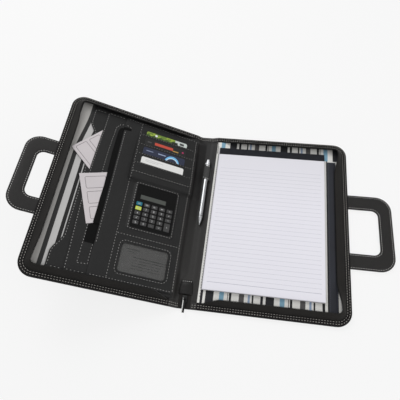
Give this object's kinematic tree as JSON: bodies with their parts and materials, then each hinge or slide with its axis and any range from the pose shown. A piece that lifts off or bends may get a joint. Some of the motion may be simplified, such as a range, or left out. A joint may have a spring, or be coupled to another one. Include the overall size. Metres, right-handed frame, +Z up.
{
  "type": "zippered padfolio",
  "caption": "Open leather document folio with writing pad, pockets, card slots, calculator, pen loop, zip round three sides and pull-out carrying handles.",
  "frame": {"origin": "on the table plane, under the middle of the spine panel", "axes": "+X across the open folio towards the pad, +Y along the spine away from the reader, +Z up from the table"},
  "size_m": [0.6668, 0.3709, 0.1416],
  "materials": {
    "black_leather": "fine grain, satin",
    "striped_lining": "woven stripes in black, grey, cream and pale blue",
    "stiffener_board": "plain",
    "zip_tape": "woven tape with nylon coil",
    "zip_metal": "polished",
    "pad_paper": "faint ruled lines",
    "pad_card": "plain",
    "pad_binding": "cloth tape",
    "elastic": "ribbed elastic",
    "pen_metal": "satin",
    "pen_bright": "polished",
    "calculator_black": "fine texture",
    "display": "grey liquid crystal display",
    "key_grey": "pale legends",
    "key_teal": "pale legend",
    "key_lime": "dark legend",
    "card_green": "plain colour blocks",
    "card_black": "plain colour blocks",
    "card_navy": "plain colour blocks",
    "card_white": "plain",
    "note_paper": "faint printed rules",
    "clear_film": "clear film over a grey card"
  },
  "bodies": {
    "back_cover": {"right_cover_shell": "black_leather", "right_cover_board": "stiffener_board", "right_lining": "striped_lining", "right_zip_half": "zip_tape", "pad_pocket_trim": "black_leather", "pad_backing_card": "pad_card", "pad_sheets": "pad_paper", "pad_binding": "pad_binding"},
    "right_handle": {"right_handle": "black_leather"},
    "spine": {"spine_panel": "black_leather", "pen_loop": "elastic", "zip_tail": "zip_tape", "zip_end_tab": "black_leather"},
    "zip_slider": {"zip_slider": "zip_metal"},
    "zip_pull": {"zip_pull": "zip_metal"},
    "pen": {"pen_barrel": "pen_metal", "pen_clip": "pen_bright"},
    "pen_button": {"pen_button": "pen_bright"},
    "front_cover": {"left_cover_shell": "black_leather", "left_cover_board": "stiffener_board", "left_lining": "striped_lining", "left_zip_half": "zip_tape", "document_pocket_panel": "black_leather", "slip_pocket_panel": "black_leather", "organizer_panel": "black_leather", "card_slot_strips": "black_leather", "id_window": "clear_film", "calculator_case": "calculator_black", "calculator_display_board": "display"},
    "left_handle": {"left_handle": "black_leather"},
    "card_1": {"card_1": "card_green"},
    "card_2": {"card_2": "card_black"},
    "card_3": {"card_3": "card_navy"},
    "card_4": {"card_4": "card_white"},
    "note_sheet_1": {"note_sheet_1": "note_paper"},
    "note_sheet_2": {"note_sheet_2": "note_paper"},
    "key_all_clear": {"key_all_clear": "key_teal"},
    "key_memory_recall": {"key_memory_recall": "key_grey"},
    "key_memory_minus": {"key_memory_minus": "key_grey"},
    "key_memory_plus": {"key_memory_plus": "key_grey"},
    "key_divide": {"key_divide": "key_grey"},
    "key_clear": {"key_clear": "key_lime"},
    "key_7": {"key_7": "key_grey"},
    "key_8": {"key_8": "key_grey"},
    "key_9": {"key_9": "key_grey"},
    "key_times": {"key_times": "key_grey"},
    "key_sign": {"key_sign": "key_grey"},
    "key_4": {"key_4": "key_grey"},
    "key_5": {"key_5": "key_grey"},
    "key_6": {"key_6": "key_grey"},
    "key_minus": {"key_minus": "key_grey"},
    "key_root": {"key_root": "key_grey"},
    "key_1": {"key_1": "key_grey"},
    "key_2": {"key_2": "key_grey"},
    "key_3": {"key_3": "key_grey"},
    "key_plus": {"key_plus": "key_grey"},
    "key_percent": {"key_percent": "key_grey"},
    "key_0": {"key_0": "key_grey"},
    "key_point": {"key_point": "key_grey"},
    "key_equals": {"key_equals": "key_grey"}
  },
  "joints": [
    {"name": "spine_fold", "type": "hinge", "parent": "back_cover", "child": "spine", "pos_m": [0.016, 0, 0.0045], "axis": [0, 1, 0], "range_deg": [0, 90]},
    {"name": "front_cover_fold", "type": "hinge", "parent": "spine", "child": "front_cover", "pos_m": [-0.016, 0, 0.0045], "axis": [0, 1, 0], "range_deg": [-25.5, 64.5]},
    {"name": "right_handle_slide", "type": "slide", "parent": "back_cover", "child": "right_handle", "axis": [1, 0, 0], "range_m": [-0.05, 0]},
    {"name": "left_handle_slide", "type": "slide", "parent": "front_cover", "child": "left_handle", "axis": [-0.9026, 0, 0.4305], "range_m": [-0.023, 0.027]},
    {"name": "zip_slider_slide", "type": "slide", "parent": "spine", "child": "zip_slider", "axis": [0, -1, 0], "range_m": [0, 0.009]},
    {"name": "zip_pull_swing", "type": "hinge", "parent": "zip_slider", "child": "zip_pull", "pos_m": [0, -0.165, 0.01005], "axis": [-1, 0, 0], "range_deg": [0, 140]},
    {"name": "pen_slide", "type": "slide", "parent": "spine", "child": "pen", "axis": [0, 1, 0], "range_m": [0, 0.13]},
    {"name": "pen_button_push", "type": "slide", "parent": "pen", "child": "pen_button", "axis": [0, -1, 0], "range_m": [0, 0.004], "stiffness_N_per_m": 600},
    {"name": "card_1_slide", "type": "slide", "parent": "front_cover", "child": "card_1", "axis": [0, 1, 0], "range_m": [0, 0.014]},
    {"name": "card_2_slide", "type": "slide", "parent": "front_cover", "child": "card_2", "axis": [0, 1, 0], "range_m": [0, 0.03]},
    {"name": "card_3_slide", "type": "slide", "parent": "front_cover", "child": "card_3", "axis": [0, 1, 0], "range_m": [0, 0.05]},
    {"name": "card_4_slide", "type": "slide", "parent": "front_cover", "child": "card_4", "axis": [0, 1, 0], "range_m": [0, 0.05]},
    {"name": "note_sheet_1_slide", "type": "slide", "parent": "front_cover", "child": "note_sheet_1", "axis": [0.9026, 0, -0.4305], "range_m": [0, 0.04]},
    {"name": "note_sheet_2_slide", "type": "slide", "parent": "front_cover", "child": "note_sheet_2", "axis": [0.9026, 0, -0.4305], "range_m": [0, 0.008]},
    {"name": "key_all_clear_press", "type": "slide", "parent": "front_cover", "child": "key_all_clear", "axis": [-0.4305, 0, -0.9026], "range_m": [0, 0.0008], "stiffness_N_per_m": 700},
    {"name": "key_memory_recall_press", "type": "slide", "parent": "front_cover", "child": "key_memory_recall", "axis": [-0.4305, 0, -0.9026], "range_m": [0, 0.0008], "stiffness_N_per_m": 700},
    {"name": "key_memory_minus_press", "type": "slide", "parent": "front_cover", "child": "key_memory_minus", "axis": [-0.4305, 0, -0.9026], "range_m": [0, 0.0008], "stiffness_N_per_m": 700},
    {"name": "key_memory_plus_press", "type": "slide", "parent": "front_cover", "child": "key_memory_plus", "axis": [-0.4305, 0, -0.9026], "range_m": [0, 0.0008], "stiffness_N_per_m": 700},
    {"name": "key_divide_press", "type": "slide", "parent": "front_cover", "child": "key_divide", "axis": [-0.4305, 0, -0.9026], "range_m": [0, 0.0008], "stiffness_N_per_m": 700},
    {"name": "key_clear_press", "type": "slide", "parent": "front_cover", "child": "key_clear", "axis": [-0.4305, 0, -0.9026], "range_m": [0, 0.0008], "stiffness_N_per_m": 700},
    {"name": "key_7_press", "type": "slide", "parent": "front_cover", "child": "key_7", "axis": [-0.4305, 0, -0.9026], "range_m": [0, 0.0008], "stiffness_N_per_m": 700},
    {"name": "key_8_press", "type": "slide", "parent": "front_cover", "child": "key_8", "axis": [-0.4305, 0, -0.9026], "range_m": [0, 0.0008], "stiffness_N_per_m": 700},
    {"name": "key_9_press", "type": "slide", "parent": "front_cover", "child": "key_9", "axis": [-0.4305, 0, -0.9026], "range_m": [0, 0.0008], "stiffness_N_per_m": 700},
    {"name": "key_times_press", "type": "slide", "parent": "front_cover", "child": "key_times", "axis": [-0.4305, 0, -0.9026], "range_m": [0, 0.0008], "stiffness_N_per_m": 700},
    {"name": "key_sign_press", "type": "slide", "parent": "front_cover", "child": "key_sign", "axis": [-0.4305, 0, -0.9026], "range_m": [0, 0.0008], "stiffness_N_per_m": 700},
    {"name": "key_4_press", "type": "slide", "parent": "front_cover", "child": "key_4", "axis": [-0.4305, 0, -0.9026], "range_m": [0, 0.0008], "stiffness_N_per_m": 700},
    {"name": "key_5_press", "type": "slide", "parent": "front_cover", "child": "key_5", "axis": [-0.4305, 0, -0.9026], "range_m": [0, 0.0008], "stiffness_N_per_m": 700},
    {"name": "key_6_press", "type": "slide", "parent": "front_cover", "child": "key_6", "axis": [-0.4305, 0, -0.9026], "range_m": [0, 0.0008], "stiffness_N_per_m": 700},
    {"name": "key_minus_press", "type": "slide", "parent": "front_cover", "child": "key_minus", "axis": [-0.4305, 0, -0.9026], "range_m": [0, 0.0008], "stiffness_N_per_m": 700},
    {"name": "key_root_press", "type": "slide", "parent": "front_cover", "child": "key_root", "axis": [-0.4305, 0, -0.9026], "range_m": [0, 0.0008], "stiffness_N_per_m": 700},
    {"name": "key_1_press", "type": "slide", "parent": "front_cover", "child": "key_1", "axis": [-0.4305, 0, -0.9026], "range_m": [0, 0.0008], "stiffness_N_per_m": 700},
    {"name": "key_2_press", "type": "slide", "parent": "front_cover", "child": "key_2", "axis": [-0.4305, 0, -0.9026], "range_m": [0, 0.0008], "stiffness_N_per_m": 700},
    {"name": "key_3_press", "type": "slide", "parent": "front_cover", "child": "key_3", "axis": [-0.4305, 0, -0.9026], "range_m": [0, 0.0008], "stiffness_N_per_m": 700},
    {"name": "key_plus_press", "type": "slide", "parent": "front_cover", "child": "key_plus", "axis": [-0.4305, 0, -0.9026], "range_m": [0, 0.0008], "stiffness_N_per_m": 700},
    {"name": "key_percent_press", "type": "slide", "parent": "front_cover", "child": "key_percent", "axis": [-0.4305, 0, -0.9026], "range_m": [0, 0.0008], "stiffness_N_per_m": 700},
    {"name": "key_0_press", "type": "slide", "parent": "front_cover", "child": "key_0", "axis": [-0.4305, 0, -0.9026], "range_m": [0, 0.0008], "stiffness_N_per_m": 700},
    {"name": "key_point_press", "type": "slide", "parent": "front_cover", "child": "key_point", "axis": [-0.4305, 0, -0.9026], "range_m": [0, 0.0008], "stiffness_N_per_m": 700},
    {"name": "key_equals_press", "type": "slide", "parent": "front_cover", "child": "key_equals", "axis": [-0.4305, 0, -0.9026], "range_m": [0, 0.0008], "stiffness_N_per_m": 700}
  ]
}
